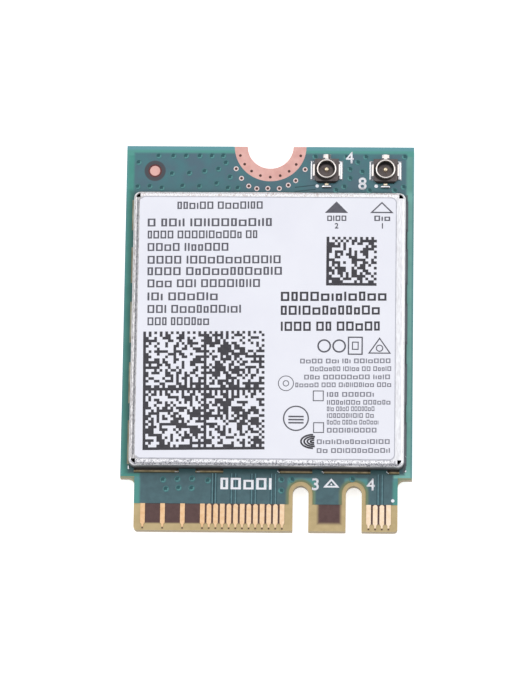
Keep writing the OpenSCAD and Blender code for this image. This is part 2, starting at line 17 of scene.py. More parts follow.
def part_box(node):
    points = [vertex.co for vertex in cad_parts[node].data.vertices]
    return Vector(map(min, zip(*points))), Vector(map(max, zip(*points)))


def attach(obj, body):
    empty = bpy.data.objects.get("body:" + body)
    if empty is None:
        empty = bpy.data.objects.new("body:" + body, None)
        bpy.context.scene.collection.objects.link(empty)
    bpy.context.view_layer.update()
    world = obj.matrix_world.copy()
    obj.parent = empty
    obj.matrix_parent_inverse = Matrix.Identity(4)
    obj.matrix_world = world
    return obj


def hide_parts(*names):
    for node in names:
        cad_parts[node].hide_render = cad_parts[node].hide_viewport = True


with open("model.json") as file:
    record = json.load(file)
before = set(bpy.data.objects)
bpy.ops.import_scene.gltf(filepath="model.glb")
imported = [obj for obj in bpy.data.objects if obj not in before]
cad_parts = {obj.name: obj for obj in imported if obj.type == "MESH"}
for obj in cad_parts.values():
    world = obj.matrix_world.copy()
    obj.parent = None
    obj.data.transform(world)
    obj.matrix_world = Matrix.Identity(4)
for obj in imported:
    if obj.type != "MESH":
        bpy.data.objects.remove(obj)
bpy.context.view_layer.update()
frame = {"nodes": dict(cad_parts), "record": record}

# %% [markdown]
# ## Heights and places
# Everything lies on one of a few levels: the laminate, the lacquer on top of it, the lid and its label.
# They are read from the CAD parts, so that print and solder sit on what carries them. Places are in
# millimetres from the middle of the board, because that is how a board designer would note them.

# %% Levels of the card
MM = 0.001
SHELL_BACK = 1.24  # from the middle of a jack's ring to the back of its shell
laminate_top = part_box("board_laminate")[1].z / MM
board_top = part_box("solder_mask_top")[1].z / MM
lid_low, lid_high = [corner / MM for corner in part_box("shield_lid")]
label_low, label_high = [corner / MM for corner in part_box("lid_label")]
jack_boxes = [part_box(f"{name}_jack_contact") for name in ("main", "second")]
jack_xs = [(low.x + high.x) / 2 / MM for low, high in jack_boxes]
jack_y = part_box("main_jack_shell")[1].y / MM - SHELL_BACK
print("levels", laminate_top, board_top, lid_high.z, label_high.z, "jacks at", jack_xs, jack_y)

# %% [markdown]
# ## Camera
# The photograph was taken from far away through a long lens, almost straight down, with the card turned
# a little. A long lens makes parallel edges stay nearly parallel. The camera is placed by its angles
# round the card and its distance in millimetres, and then rolled by the small tilt of the picture. The
# values were fitted to the edges of the board and the middles of the contacts.

# %% Camera
AZIMUTH = math.radians(7.964)
ELEVATION = math.radians(76.249)
ROLL = math.radians(-7.339)
DISTANCE = 345.317
LOOK_AT = Vector((-0.748, -0.567, 0.8))
IMAGE_HEIGHT = 688
FOCAL_PIXELS = 4552.5

back = Vector((
    math.sin(AZIMUTH) * math.cos(ELEVATION),
    -math.cos(AZIMUTH) * math.cos(ELEVATION),
    math.sin(ELEVATION),
))
level = Vector((math.cos(AZIMUTH), math.sin(AZIMUTH), 0))
upright = back.cross(level)
right = math.cos(ROLL) * level + math.sin(ROLL) * upright
up = back.cross(right)
camera_data = bpy.data.cameras.new("camera")
camera_data.sensor_width = 36
camera_data.lens = FOCAL_PIXELS * camera_data.sensor_width / IMAGE_HEIGHT
camera = bpy.data.objects.new("camera", camera_data)
turn = Matrix((right, up, back)).transposed().to_4x4()
camera.matrix_world = Matrix.Translation((LOOK_AT + DISTANCE * back) * MM) @ turn
bpy.context.scene.collection.objects.link(camera)
bpy.context.scene.camera = camera
print("lens", round(camera_data.lens, 1), "mm")

# %% [markdown]
# ## Helpers for modelling
# Each new piece is made with the operators that a hand would use. An operator works on all that is
# selected, so every piece starts with nothing selected. Faces are chosen by where they are and where
# they look, and a finished piece has its place in its mesh, with its own origin at the world's.

# %% Modelling helpers
def start_fresh():
    """Leaves edit mode and selects nothing, so that the next shape is the only one worked on."""
    if bpy.context.object and bpy.context.object.mode == "EDIT":
        bpy.ops.object.mode_set(mode="OBJECT")
    bpy.ops.object.select_all(action="DESELECT")


def edit_all():
    """Goes into edit mode with everything selected."""
    bpy.ops.object.mode_set(mode="EDIT")
    bpy.ops.mesh.select_all(action="SELECT")


def choose_faces(wanted):
    """Goes into edit mode with only those faces selected that pass the test."""
    bpy.context.scene.tool_settings.mesh_select_mode = (False, False, True)
    bpy.ops.object.mode_set(mode="EDIT")
    bpy.ops.mesh.select_all(action="DESELECT")
    bpy.ops.object.mode_set(mode="OBJECT")
    for face in bpy.context.object.data.polygons:
        face.select = wanted(face)
    bpy.ops.object.mode_set(mode="EDIT")


def raise_sheet(thickness):
    """Gives a flat shape its thickness, with its walls and both faces looking outwards."""
    edit_all()
    bpy.ops.mesh.extrude_region_move(TRANSFORM_OT_translate={"value": (0, 0, thickness * MM)})
    bpy.ops.mesh.select_all(action="SELECT")
    bpy.ops.mesh.normals_make_consistent(inside=False)
    bpy.ops.object.mode_set(mode="OBJECT")


def settle(piece):
    """Moves a shape's place into its mesh."""
    start_fresh()
    piece.select_set(True)
    bpy.context.view_layer.objects.active = piece
    bpy.ops.object.transform_apply(location=True, rotation=True, scale=True)
    return piece


def join(shapes, name):
    """Makes one piece of several shapes and gives it a name."""
    start_fresh()
    for shape in shapes:
        shape.select_set(True)
    bpy.context.view_layer.objects.active = shapes[0]
    if len(shapes) > 1:
        bpy.ops.object.join()
    piece = settle(bpy.context.object)
    piece.name = piece.data.name = name
    return piece


def finish_piece(shapes, name, material):
    """Makes a piece of shapes, with its material and the body under it."""
    piece = join(shapes, name)
    piece.data.materials.clear()
    piece.data.materials.append(material)
    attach(piece, "root")
    print(name, len(piece.data.polygons), "faces")
    return piece


def copy_to(shape, x, y, angle=0):
    """A copy of a shape with a mesh of its own, moved and turned about Z."""
    twin = shape.copy()
    twin.data = shape.data.copy()
    bpy.context.scene.collection.objects.link(twin)
    twin.matrix_world = (
        Matrix.Translation((x * MM, y * MM, 0)) @ Matrix.Rotation(angle, 4, "Z") @ shape.matrix_world
    )
    return twin


def turned(shape, x, y, angle):
    """Turns a shape about a point of the card."""
    spot = Vector((x, y, 0)) * MM
    about = Matrix.Translation(spot) @ Matrix.Rotation(angle, 4, "Z") @ Matrix.Translation(-spot)
    shape.matrix_world = about @ shape.matrix_world
    return shape

# %% [markdown]
# ## Helpers for materials
# A colour is noted as the sRGB hex value that a colour picker shows, and the shader wants linear light,
# so one function turns one into the other. A second one adds a node with its settings and links. The
# others measure distances in millimetres and lay one colour over another, so that a material can be
# read as a list of what lies where.

# %% Material helpers
def linear(hex_code):
    """sRGB hex value to linear red, green, blue and alpha."""
    values = [int(hex_code[k:k + 2], 16) / 255 for k in (1, 3, 5)]
    return [v / 12.92 if v <= 0.04045 else ((v + 0.055) / 1.055) ** 2.4 for v in values] + [1]


def add(kind, settings, links):
    """Adds a node beside those that it is linked to. Settings fill its options and sockets."""
    tree = next(iter(links.values())).id_data
    node = tree.nodes.new("ShaderNode" + kind)
    for key, value in settings.items():
        if isinstance(key, int) or key in node.inputs:
            node.inputs[key].default_value = value
        else:
            setattr(node, key, value)
    for key, output in links.items():
        tree.links.new(output, node.inputs[key])
    return node


def new_finish(name, roughness, **sockets):
    """A material with its even values on the shader itself. Returns it, its shader and its places."""
    material = bpy.data.materials.new(name)
    material.use_nodes = True
    shader = material.node_tree.nodes["Principled BSDF"]
    shader.inputs["Roughness"].default_value = roughness
    for key, value in sockets.items():
        shader.inputs[key.replace("_", " ")].default_value = value
    place = material.node_tree.nodes.new("ShaderNodeTexCoord").outputs["Object"]
    print("finish:", name)
    return material, shader, place


def cloud(place, size, dark, light, low=0.35, high=0.65):
    """Two shades of a colour in soft patches of about the given size in millimetres."""
    noise = add("TexNoise", {"Scale": 1 / (size * MM), "Detail": 3}, {"Vector": place})
    spread = add("MapRange", {1: low, 2: high}, {0: noise.outputs[0]})
    return over(spread.outputs[0], dark, light)


def relief(shader, height, depth):
    """Bumps of the given depth in millimetres, from a pattern between 0 and 1."""
    bump = add("Bump", {"Distance": depth * MM}, {"Height": height})
    height.id_data.links.new(bump.outputs[0], shader.inputs["Normal"])


def grain(shader, place, size, depth):
    """Bumps of about the given size and depth, both in millimetres."""
    noise = add("TexNoise", {"Scale": 1 / (size * MM)}, {"Vector": place})
    relief(shader, noise.outputs[0], depth)


def paint(shader, colour):
    """Joins a pattern of colour to the shader."""
    colour.id_data.links.new(colour, shader.inputs["Base Color"])


def clouded_finish(name, roughness, patch, dark, light, bumps=None, **sockets):
    """A finish of two shades in patches of a size, with bumps where their size and depth are given."""
    material, shader, place = new_finish(name, roughness, **sockets)
    paint(shader, cloud(place, patch, dark, light))
    if bumps:
        grain(shader, place, *bumps)
    return material


def distance_past(place, west, east, south, north):
    """How far a place lies past the edge of a rectangle seen from above, and below 0 inside it."""
    middle = ((west + east) / 2 * MM, (south + north) / 2 * MM, 0)
    half = ((east - west) / 2 * MM, (north - south) / 2 * MM, 0)
    moved = add("VectorMath", {"operation": "SUBTRACT", 1: middle}, {0: place})
    folded = add("VectorMath", {"operation": "ABSOLUTE"}, {0: moved.outputs[0]})
    past = add("VectorMath", {"operation": "SUBTRACT", 1: half}, {0: folded.outputs[0]})
    east, north, _ = add("SeparateXYZ", {}, {0: past.outputs[0]}).outputs
    return add("Math", {"operation": "MAXIMUM"}, {0: east, 1: north}).outputs[0]


def rise(value, start, end, low=0.0, high=1.0):
    """Goes softly from low to high while a length goes from start to end, both in millimetres."""
    settings = {"interpolation_type": "SMOOTHSTEP", 1: start * MM, 2: end * MM, 3: low, 4: high}
    return add("MapRange", settings, {0: value}).outputs[0]


def inside_field(place, west, east, south, north, soft):
    """1 inside a rectangle seen from above and 0 outside it, with an edge of the given softness."""
    edge = distance_past(place, west, east, south, north)
    return rise(edge, -soft, soft, 1, 0)


def over(factor, below, above):
    """Lays one colour over another where the factor is 1. Either one may be a hex value."""
    settings, links = {"data_type": "RGBA"}, {0: factor}
    for key, colour in ((6, below), (7, above)):
        if isinstance(colour, str):
            settings[key] = linear(colour)
        else:
            links[key] = colour
    return add("Mix", settings, links).outputs[2]


def bands(value, first, steps):
    """Colours in bands along a length. Each step says from where to where its colour takes over."""
    colour = first
    for start, end, next_colour in steps:
        colour = over(rise(value, start, end), colour, next_colour)
    return colour

# %% [markdown]
# ## Solder mask
# Solder mask is a green-blue lacquer printed over copper. It is thin and clear enough that the copper
# below decides its colour: greyish teal over copper, fresh green-teal over bare laminate along the
# edges of the board. Fields drawn as rectangles say where the copper is. A picture of the board could
# say it too, but rectangles keep sharp at any distance and are easy to move. The lacquer is semi-gloss,
# and very slightly wavy because it flows a little before it sets.

# %% Solder mask
# Each field gives its west, east, south and north side.
COPPER_FIELDS = [
    (-10.42, 10.42, -10.65, 14.47),
    (-9.5, 1.66, -13.2, -10.4),
    (-9.5, 9.56, -10.95, -10.4),
    (3.72, 5.94, -13.2, -10.4),
    (7.66, 9.56, -13.2, -10.4),
]
COPPER_BLUR = 0.12
BOARD_SIDES = (-11, 11, -11, 15)
SIDE_RIM = (-0.2, -0.02)
TAB_STEPS = [(-11.3, -11, "#579496")]
BACK_STEPS = [(14.2, 14.3, "#4F9B8F"), (14.6, 14.8, "#5F9DA3")]

# A thin semi-gloss coat: the eye sees the colour of what lies below, under soft highlights.
mask, shader, place = new_finish("solder mask lacquer", 0.36, IOR=1.5, Specular_IOR_Level=0.5)
across, along, _ = add("SeparateXYZ", {}, {0: place}).outputs
over_copper = over(
    rise(along, -12, 12),
    cloud(place, 0.5, "#3F5F65", "#46696F"),
    cloud(place, 1.3, "#4B6B77", "#42777D"),
)
# Along the east edge the lacquer is painted lighter than along the west, a painted sheen, and behind the
# lid it is painted darker than beside it, a painted shade.
east_edge_sheen = over(
    rise(along, 10.8, 11.8),
    cloud(place, 1.2, "#79BBAE", "#86C6BA"),
    cloud(place, 1.2, "#5B988B", "#659F95"),
)
west_edge = cloud(place, 1.2, "#3F9083", "#4A9B8D")
over_laminate = over(rise(across, -10.5, 10.5), west_edge, east_edge_sheen)
from_outline = distance_past(place, *BOARD_SIDES)
outline_colour = bands(along, "#4B948B", TAB_STEPS)
colour = over(rise(from_outline, *SIDE_RIM), over_laminate, outline_colour)
colour = bands(along, colour, BACK_STEPS)
for field in COPPER_FIELDS:
    covered = inside_field(place, *field, soft=COPPER_BLUR)
    colour = over(covered, colour, over_copper)
print("fields of copper below the lacquer:", len(COPPER_FIELDS))

# %% [markdown]
# Close to the lid the lacquer lies in its shade, all round except on the east side, where a grey line of
# painted shade follows the foot. Light could draw the shade, but the lights here are too large and soft
# for it, so both are laid over the colour by the distance from the lid.

# %% Lacquer beside the lid
LID_SHADE = (0.15, 0.6, 0.55, 0)
SHADE_FADES = (9.5, 10.6, 1, 0)
FOOT_LINE = (0.1, 0.2, 1, 0)
FOOT_STARTS = (10.2, 10.4)
from_lid = distance_past(place, lid_low.x, lid_high.x, lid_low.y, lid_high.y)
shade_parts = {0: rise(from_lid, *LID_SHADE), 1: rise(across, *SHADE_FADES)}
in_shade = add("Math", {"operation": "MULTIPLY"}, shade_parts)
colour = over(in_shade.outputs[0], colour, "#1F4A48")
# A grey line of painted shade hugs the lid's east foot.
foot_parts = {0: rise(from_lid, *FOOT_LINE), 1: rise(across, *FOOT_STARTS)}
east_foot_shade = add("Math", {"operation": "MULTIPLY"}, foot_parts)
colour = over(east_foot_shade.outputs[0], colour, "#565F63")
print("shade reaches", LID_SHADE[1], "mm from the lid")

# %% [markdown]
# Towards an edge the lacquer runs thin, and the tan board shows through as an olive seam along the two
# slots and as a grey field round the sighting mark. Both are drawn by their distance from a point: for
# a slot that point is the middle of its round end, and everything nearer the mouth counts as level
# with it.

# %% Where the lacquer ends
SLOT_XS = [2.625, 6.625]
SLOT_ARC_Y = -12.1
SLOT_SEAM = (0.92, 1.24, 1, 0)
FIDUCIAL_AT = (-8.83, 13.03)
BARE_ROUND = (0.76, 0.86, 1, 0)
for slot_x in SLOT_XS:
    arc_middle = (slot_x * MM, SLOT_ARC_Y * MM, 0)
    moved = add("VectorMath", {"operation": "SUBTRACT", 1: arc_middle}, {0: place})
    parts = add("SeparateXYZ", {}, {0: moved.outputs[0]})
    ahead = add("Math", {"operation": "MAXIMUM", 1: 0}, {0: parts.outputs[1]})
    flat = add("CombineXYZ", {}, {0: parts.outputs[0], 1: ahead.outputs[0]})
    from_slot = add("VectorMath", {"operation": "LENGTH"}, {0: flat.outputs[0]})
    thin = rise(from_slot.outputs["Value"], *SLOT_SEAM)
    colour = over(thin, colour, "#74805A")
fiducial_middle = (FIDUCIAL_AT[0] * MM, FIDUCIAL_AT[1] * MM, board_top * MM)
from_fiducial = add("VectorMath", {"operation": "DISTANCE", 1: fiducial_middle}, {0: place})
bare_round = rise(from_fiducial.outputs["Value"], *BARE_ROUND)
paint(shader, over(bare_round, colour, "#43444A"))
# The waves are drawn 0.35 mm apart, close enough to show in the highlights.
grain(shader, place, 0.35, 0.006)
print("slots with a thin edge of lacquer:", len(SLOT_XS))

# %% [markdown]
# ## Laminate
# The board itself is glass cloth in epoxy resin, tan and slightly translucent. Where it is bare between
# the contacts, planes of copper inside the board show through it as brown fields with blurred edges.
# On the two shoulders beside the contacts a trace of lacquer turns it olive. The sawn sides are rougher,
# and they are painted browner and darker than the top as painted shade, so the colour also depends on the
# height.

# %% Glass-epoxy laminate
# The last value of a field is how far its edges are blurred.
INNER_COPPER = [
    (-9.15, 1.4, -14.46, -12.8, 0.09),
    (3.92, 5.66, -14.42, -12.8, 0.17),
    (7.62, 9.38, -14.46, -12.8, 0.09),
]
SHOULDERS = [(-11.1, -9.3, -11.9, -10.9, 0.03), (9.3, 11.1, -11.9, -10.9, 0.03)]

# Pressed and sawn glass cloth in resin: the eye sees a warm tan plate with rougher sides, painted darker as
# shade.
laminate, shader, place = new_finish("glass-epoxy laminate", 0.45, IOR=1.52)
colour = cloud(place, 0.5, "#BFA877", "#C8B180")
brown = cloud(place, 0.3, "#51332F", "#5A3C38")
for fields, field_colour in ((INNER_COPPER, brown), (SHOULDERS, "#8A9778")):
    for field in fields:
        seen = inside_field(place, *field)
        colour = over(seen, colour, field_colour)
height = add("SeparateXYZ", {}, {0: place}).outputs[2]
# The sides are painted darker than the top: painted shade.
shaded_sides = cloud(place, 0.1, "#84714A", "#98845A")
cut_steps = [(laminate_top - 0.03, laminate_top - 0.005, colour)]
paint(shader, bands(height, shaded_sides, cut_steps))
# Glass filaments are about 0.01 mm thick, far finer than a pixel, so they are drawn 0.12 mm apart.
grain(shader, place, 0.12, 0.002)
print("fields of inner copper:", len(INNER_COPPER))

# %% [markdown]
# ## Metals
# The contacts are nickel and hard gold on copper, smooth but not polished. The half ring round the
# screw notch is copper with a thin organic coating, pink and satin. Solder is bright tin with frozen
# ripples. On the pads of the jacks it has gone dull, and round the shield it lies under brown flux, in
# bands of painted shade next to the wall, a painted tan highlight, olive flux and painted shade further
# out. A metal takes its look from its colour, its roughness and what it mirrors, so each one keeps the
# plain metal shader.

# %% Gold of the contacts
# Plated and slightly scuffed: a warm, blurred mirror, paler towards the east.
gold, shader, place = new_finish("hard gold plate", 0.34, Metallic=1.0)
across = add("SeparateXYZ", {}, {0: place}).outputs[0]
colour = over(
    rise(across, -9, 10),
    cloud(place, 0.3, "#E4B88A", "#EEC79B"),
    cloud(place, 0.3, "#F3D6B3", "#FAE5CB"),
)
paint(shader, colour)
# Real scuffs are finer. They are drawn at 0.05 mm, just coarse enough to blur what is mirrored.
grain(shader, place, 0.05, 0.0008)

# %% Bare copper
# Etched copper under its coat mirrors little: the eye sees satin pink, with a paler outer rim.
copper, shader, place = new_finish("coated bare copper", 0.5, Metallic=0.4)
ring_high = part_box("notch_ring_top")[1] / MM
notch_y, ring_out = ring_high.y, ring_high.x
notch_middle = (0, notch_y * MM, ring_high.z * MM)
from_notch = add("VectorMath", {"operation": "DISTANCE", 1: notch_middle}, {0: place})
ring_copper = cloud(place, 0.6, "#E1ABA1", "#EAB8AE")
copper_steps = [(ring_out, ring_out + 0.1, "#F2DAD6"), (4, 5, ring_copper)]
paint(shader, bands(from_notch.outputs["Value"], ring_copper, copper_steps))
# The grit of an etched surface is some microns wide, so it is drawn ten times as coarse.
grain(shader, place, 0.06, 0.001)

# %% Solder
# Frozen ripples break the mirror of fresh tin into bright and dark flecks. Oxide turns it grey.
solder = clouded_finish("bright solder", 0.2, 0.1, "#E4E5E8", "#F6F6F8", (0.12, 0.006), Metallic=1.0)
dull = clouded_finish("dull tin on a pad", 0.45, 0.15, "#7F8288", "#A0A3A8", (0.1, 0.006), Metallic=0.6)

# Dried flux covers the metal here, with hardly any mirror. Its bands are painted shade and a painted
# highlight over the brown and olive of the flux.
flux_and_shade, shader, place = new_finish("solder under flux and painted shade", 0.45, Metallic=0.3)
from_wall = distance_past(place, lid_low.x, lid_high.x, lid_low.y, lid_high.y)
FLUX_AND_SHADE_STEPS = [
    (0.02, 0.1, "#3A352C"),
    (0.11, 0.16, cloud(place, 0.4, "#8A7850", "#B5A178")),
    (0.19, 0.24, "#4A4B38"),
    (0.26, 0.33, "#2B3B35"),
]
SIDE_BLUR = 0.02
across = add("SeparateXYZ", {}, {0: place}).outputs[0]
left_side = rise(across, lid_low.x - SIDE_BLUR, lid_low.x + SIDE_BLUR, 1, 0)
east_shade_side = rise(across, lid_high.x - SIDE_BLUR, lid_high.x + SIDE_BLUR)
# Painted shade next to the wall, a painted tan highlight, olive flux, and painted shade at the outer edge.
flux_and_shade_colour = bands(from_wall, "#262320", FLUX_AND_SHADE_STEPS)
flux_and_shade_colour = over(left_side, flux_and_shade_colour, cloud(place, 1.5, "#857F68", "#B0B09A"))
# On the east side the feet are painted grey: painted shade where the wall is seen.
paint(shader, over(east_shade_side, flux_and_shade_colour, "#666C72"))
grain(shader, place, 0.15, 0.006)

# %% [markdown]
# The lid is thin rolled steel, pressed and folded. Pressing has left fine flecks on the front and back of
# its rim, and their white and grey are painted glints. The sides are plainer, and a grey line of painted
# shade runs along the left edge of the label. The bend of the rim is painted grey as shade. The folded
# walls are satin and painted darker towards the foot, as painted shade. Top and walls could be one
# material, but they mirror so differently that the walls get a slot of their own.

# %% Steel of the lid
FLECK = 0.17
GAP_WEST = 0.2
GAP_EAST = 0.08
GAP_END = 0.3
LID_EDGE_SHADE = (0.22, 0.06)

# Rolled bright and pressed: a strong mirror, speckled where the press has worn it. The speckles are
# painted white and grey as glints.
lid_steel, shader, place = new_finish("rolled lid steel", 0.28, Metallic=1.0)
wear_and_glints = add("TexNoise", {"Scale": 1 / (FLECK * MM), "Distortion": 1.6}, {"Vector": place})
fleck = add("MapRange", {1: 0.42, 2: 0.49}, {0: wear_and_glints.outputs[0]})
across, along, height = add("SeparateXYZ", {}, {0: place}).outputs
dark_fleck = over(rise(along, -5, 5), "#A2A2A8", "#D3C9C6")
pressed_and_glinting_steel = over(fleck.outputs[0], dark_fleck, "#F6F5F6")
# Rolling draws marks out lengthwise, so the pattern of the sides is squeezed six times across.
rolled = add("Mapping", {"Scale": (6, 1, 1)}, {0: place})
plain_steel = over(
    rise(across, -5, 5),
    cloud(rolled.outputs[0], 0.3, "#959292", "#CBC9C9", 0.4, 0.55),
    cloud(rolled.outputs[0], 0.5, "#DEDDDF", "#F4F4F6"),
)
gap_line = (label_low.x - GAP_WEST, label_low.x - GAP_EAST, label_low.y + GAP_END, label_high.y - GAP_END)
west_of_label = inside_field(place, *gap_line, soft=0.04)
# A grey line of painted shade along the label's west edge.
gap_shade = cloud(place, 0.2, "#69696D", "#A0A0A4")
plain_steel = over(west_of_label, plain_steel, gap_shade)
beside_label = inside_field(place, lid_low.x, lid_high.x, label_low.y, label_high.y, 0.1)
top_steel = over(beside_label, pressed_and_glinting_steel, plain_steel)
# Below the top, the bend is painted grey: painted shade.
edge_shade_steps = [(lid_high.z - LID_EDGE_SHADE[0], lid_high.z - LID_EDGE_SHADE[1], top_steel)]
paint(shader, bands(height, "#9C9C9F", edge_shade_steps))
relief(shader, wear_and_glints.outputs[0], 0.008)

# %% Steel of the walls and of the frame
# Drawn over the edge of the tool, the walls are satin. They are painted light at the top and nearly
# black at the foot, as painted shade.
wall_steel, shader, place = new_finish("satin lid wall", 0.5, Metallic=0.3)
height = add("SeparateXYZ", {}, {0: place}).outputs[2]
WALL_SHADE_STEPS = [
    (board_top + 0.2, board_top + 0.8, "#6A686A"),
    (board_top + 0.8, lid_high.z - 0.1, cloud(place, 0.3, "#BCBABC", "#D0CED0")),
]
paint(shader, bands(height, "#343130", WALL_SHADE_STEPS))
# Draw marks are too fine to show, so they are drawn 0.1 mm apart.
grain(shader, place, 0.1, 0.003)

# Tin-plated strip: warmer and duller than the lid.
frame_steel = clouded_finish(
    "plated frame steel", 0.35, 0.3, "#B9B2A4", "#CFC9BC", (0.08, 0.002), Metallic=1.0
)

# %% [markdown]
# ## Mouldings and jack contacts
# The jacks are moulded from dark brown liquid-crystal polymer, matt with a faint flow pattern. The front
# lip is painted near black as painted shade, and two crescents at the ring are painted shadows: on the
# floor under the ring's wall and on the housing beside the ring. They are laid on the colour by the
# distance from a jack's middle and from two points near it.

# %% Moulded polymer
FRONT_LIP_SHADE = (0.91, 0.85)
WALL_SHADOW_FROM = (-0.06, -0.13)
RING_SHADOW_FROM = (-0.1, -0.05)

# Matt filled plastic: the eye sees almost no highlight, only a brown-grey body.
moulding, shader, place = new_finish("moulded dark polymer", 0.55, IOR=1.55, Specular_IOR_Level=0.2)
colour = cloud(place, 0.2, "#625A59", "#716867")
along = add("SeparateXYZ", {}, {0: place}).outputs[1]
# The front lip is painted near black: painted shade.
front_lip_shade = rise(along, jack_y - FRONT_LIP_SHADE[0], jack_y - FRONT_LIP_SHADE[1], 1, 0)
colour = over(front_lip_shade, colour, "#100E0E")
for jack_x in jack_xs:
    distances = []
    for x, y in ((0, 0), WALL_SHADOW_FROM, RING_SHADOW_FROM):
        point = ((jack_x + x) * MM, (jack_y + y) * MM, board_top * MM)
        distance = add("VectorMath", {"operation": "DISTANCE", 1: point}, {0: place})
        distances.append(distance.outputs["Value"])
    # Two painted shadows: inside the ring under its wall, and on the housing beside the ring.
    wall_parts = {0: rise(distances[0], 0.66, 0.74, 1, 0), 1: rise(distances[1], 0.48, 0.66)}
    wall_shadow = add("Math", {"operation": "MULTIPLY"}, wall_parts)
    colour = over(wall_shadow.outputs[0], colour, "#161213")
    beside_parts = {0: rise(distances[0], 0.72, 0.76), 1: rise(distances[2], 0.8, 0.9, 1, 0)}
    ring_shadow = add("Math", {"operation": "MULTIPLY"}, beside_parts)
    colour = over(ring_shadow.outputs[0], colour, "#2A2624")
paint(shader, colour)
# The filler is finer than this. At 0.06 mm it just breaks up the highlights.
grain(shader, place, 0.06, 0.004)

# %% Gold of the jacks
FOOT_WEST, FOOT_EAST = 0.1, 0.5
FOOT_SOUTH, FOOT_NORTH = 0.95, 1.6

# Polished brass under a pale plate: a clear mirror, so the ring shows bright and dark arcs.
jack_gold, shader, place = new_finish("pale gold plate on brass", 0.2, Metallic=1.0)
plate_colour = cloud(place, 0.3, "#F5EBE2", "#FDF7F2")
foot_end = (jack_xs[0] + FOOT_WEST, jack_xs[0] + FOOT_EAST, jack_y + FOOT_SOUTH, jack_y + FOOT_NORTH)
dulled = inside_field(place, *foot_end, soft=0.04)
paint(shader, over(dulled, plate_colour, "#6F6E69"))
# Traces of polishing are finer than a pixel, so they are drawn 0.1 mm apart.
grain(shader, place, 0.1, 0.001)

# The centre contacts look yellower than the rings, and a little less polished.
pin_gold = clouded_finish("yellower gold plate on the pins", 0.25, 0.3, "#EEDDBC", "#F7EACF", Metallic=1.0)

# %% [markdown]
# ## Label, ink and parts under the lid
# The label is coated white film, nearly smooth. Ink is a thin dull film on it, in three strengths. The
# parts under the lid can't be seen, but each kind still gets the plain finish of its real material. All
# of these differ only in a few values, so one helper makes them.

# %% Film and ink
# Coated film scatters light evenly: white and matt. The cut edge and a narrow rim on top are painted
# grey, a painted shade along the edge.
film = clouded_finish(
    "coated white label film", 0.5, 4.0, "#F0F0F7", "#F4F4FA", (0.2, 0.001), IOR=1.48
)
film_edge_shade = clouded_finish("cut edge and painted edge shade of the label", 0.6, 0.5, "#B9B9C1", "#C9C9D1")
# Printed ink has no gloss of its own. The patches are dots of the print, drawn coarse enough to show.
ink_dark = clouded_finish("dark label ink", 0.6, 0.3, "#343238", "#403E44")
ink_grey = clouded_finish("grey label ink", 0.6, 0.3, "#55545C", "#605F67")
ink_pale = clouded_finish("pale label ink", 0.6, 0.3, "#7C7B84", "#87868F")
# Screen-printed ink lies thick, so its surface is a little uneven.
silk = clouded_finish("white legend ink", 0.55, 0.2, "#F4F5FC", "#FDFDFF", (0.08, 0.004))

# %% Parts under the lid
# Filled epoxy and pressed ferrite are dark and matt, the heat pad is waxy, and only the glaze shines.
HIDDEN = {
    "epoxy": ("moulded black epoxy", 0.6, 0.1, "#26262A", "#323236"),
    "soft_pad": ("soft heat pad", 0.8, 0.2, "#8E93A0", "#A3A8B4"),
    "ceramic": ("fired ceramic", 0.5, 0.1, "#A48F6E", "#B7A07C"),
    "ferrite": ("pressed ferrite", 0.7, 0.1, "#47474A", "#525255"),
    "white_ceramic": ("glazed white ceramic", 0.3, 0.2, "#DAD7CC", "#E8E6DC"),
}
hidden_finishes = {slot: clouded_finish(*values) for slot, values in HIDDEN.items()}

# %% [markdown]
# ## Finishes on the CAD nodes
# The record names a material slot for every node, so most nodes take their finish by that name. A few
# get a finish of their own. The lid has two: faces that look sideways take the steel of the walls.

# %% Finish of every CAD node
FINISHES = {
    "laminate": laminate,
    "solder_mask": mask,
    "gold_plate": gold,
    "bare_copper": copper,
    "tin": solder,
    "frame_steel": frame_steel,
    "lid_steel": lid_steel,
    "label_film": film,
    "jack_moulding": moulding,
    "jack_plate": jack_gold,
    **hidden_finishes,
}
OWN_FINISH = {
    "shield_solder": flux_and_shade,
    "shield_pads": flux_and_shade,
    "jack_pads": dull,
    "jack_solder": dull,
    "main_jack_contact": pin_gold,
    "second_jack_contact": pin_gold,
}
for part in frame["record"]["subparts"]:
    node = frame["nodes"][part["node"]]
    node.data.materials.clear()
    node.data.materials.append(OWN_FINISH.get(part["node"], FINISHES[part["material_slot"]]))
UPWARD = 0.3  # a face with less of its normal along Z than this belongs to a wall
lid_mesh = frame["nodes"]["shield_lid"].data
lid_mesh.materials.append(wall_steel)
for face in lid_mesh.polygons:
    face.material_index = 1 if abs(face.normal.z) < UPWARD else 0
print("CAD nodes with a finish:", len(frame["nodes"]))

# %% [markdown]
# ## Label film
# The label is a sheet of film with rounded corners. It could be the CAD plate with ink floating on top,
# but then the ink would stand out of the card's real height. So the film is made anew, as much thinner
# as the ink is thick, and film and ink together fill the plate's place. A narrow inset gives it a rim
# that is painted grey like the cut edge, a painted shade along the edge, except along the west side.

# %% Label film
INK = 0.006
CORNER = 0.45
CUT_RIM = 0.08
ink_floor = label_high.z - INK
label_middle = (label_low + label_high) / 2
start_fresh()
bpy.ops.mesh.primitive_plane_add(size=1, location=label_middle * MM)
label = bpy.context.object
label.location.z = label_low.z * MM
label.scale = ((label_high.x - label_low.x) * MM, (label_high.y - label_low.y) * MM, 1)
settle(label)
edit_all()
bpy.ops.mesh.bevel(offset=CORNER * MM, segments=8, affect="VERTICES")
raise_sheet(ink_floor - label_low.z)
choose_faces(lambda face: face.normal.z > 0.5 and face.center.z > label_low.z * MM)
bpy.ops.mesh.inset(thickness=CUT_RIM * MM)
bpy.ops.object.mode_set(mode="OBJECT")
label = finish_piece([label], "label_film", film)
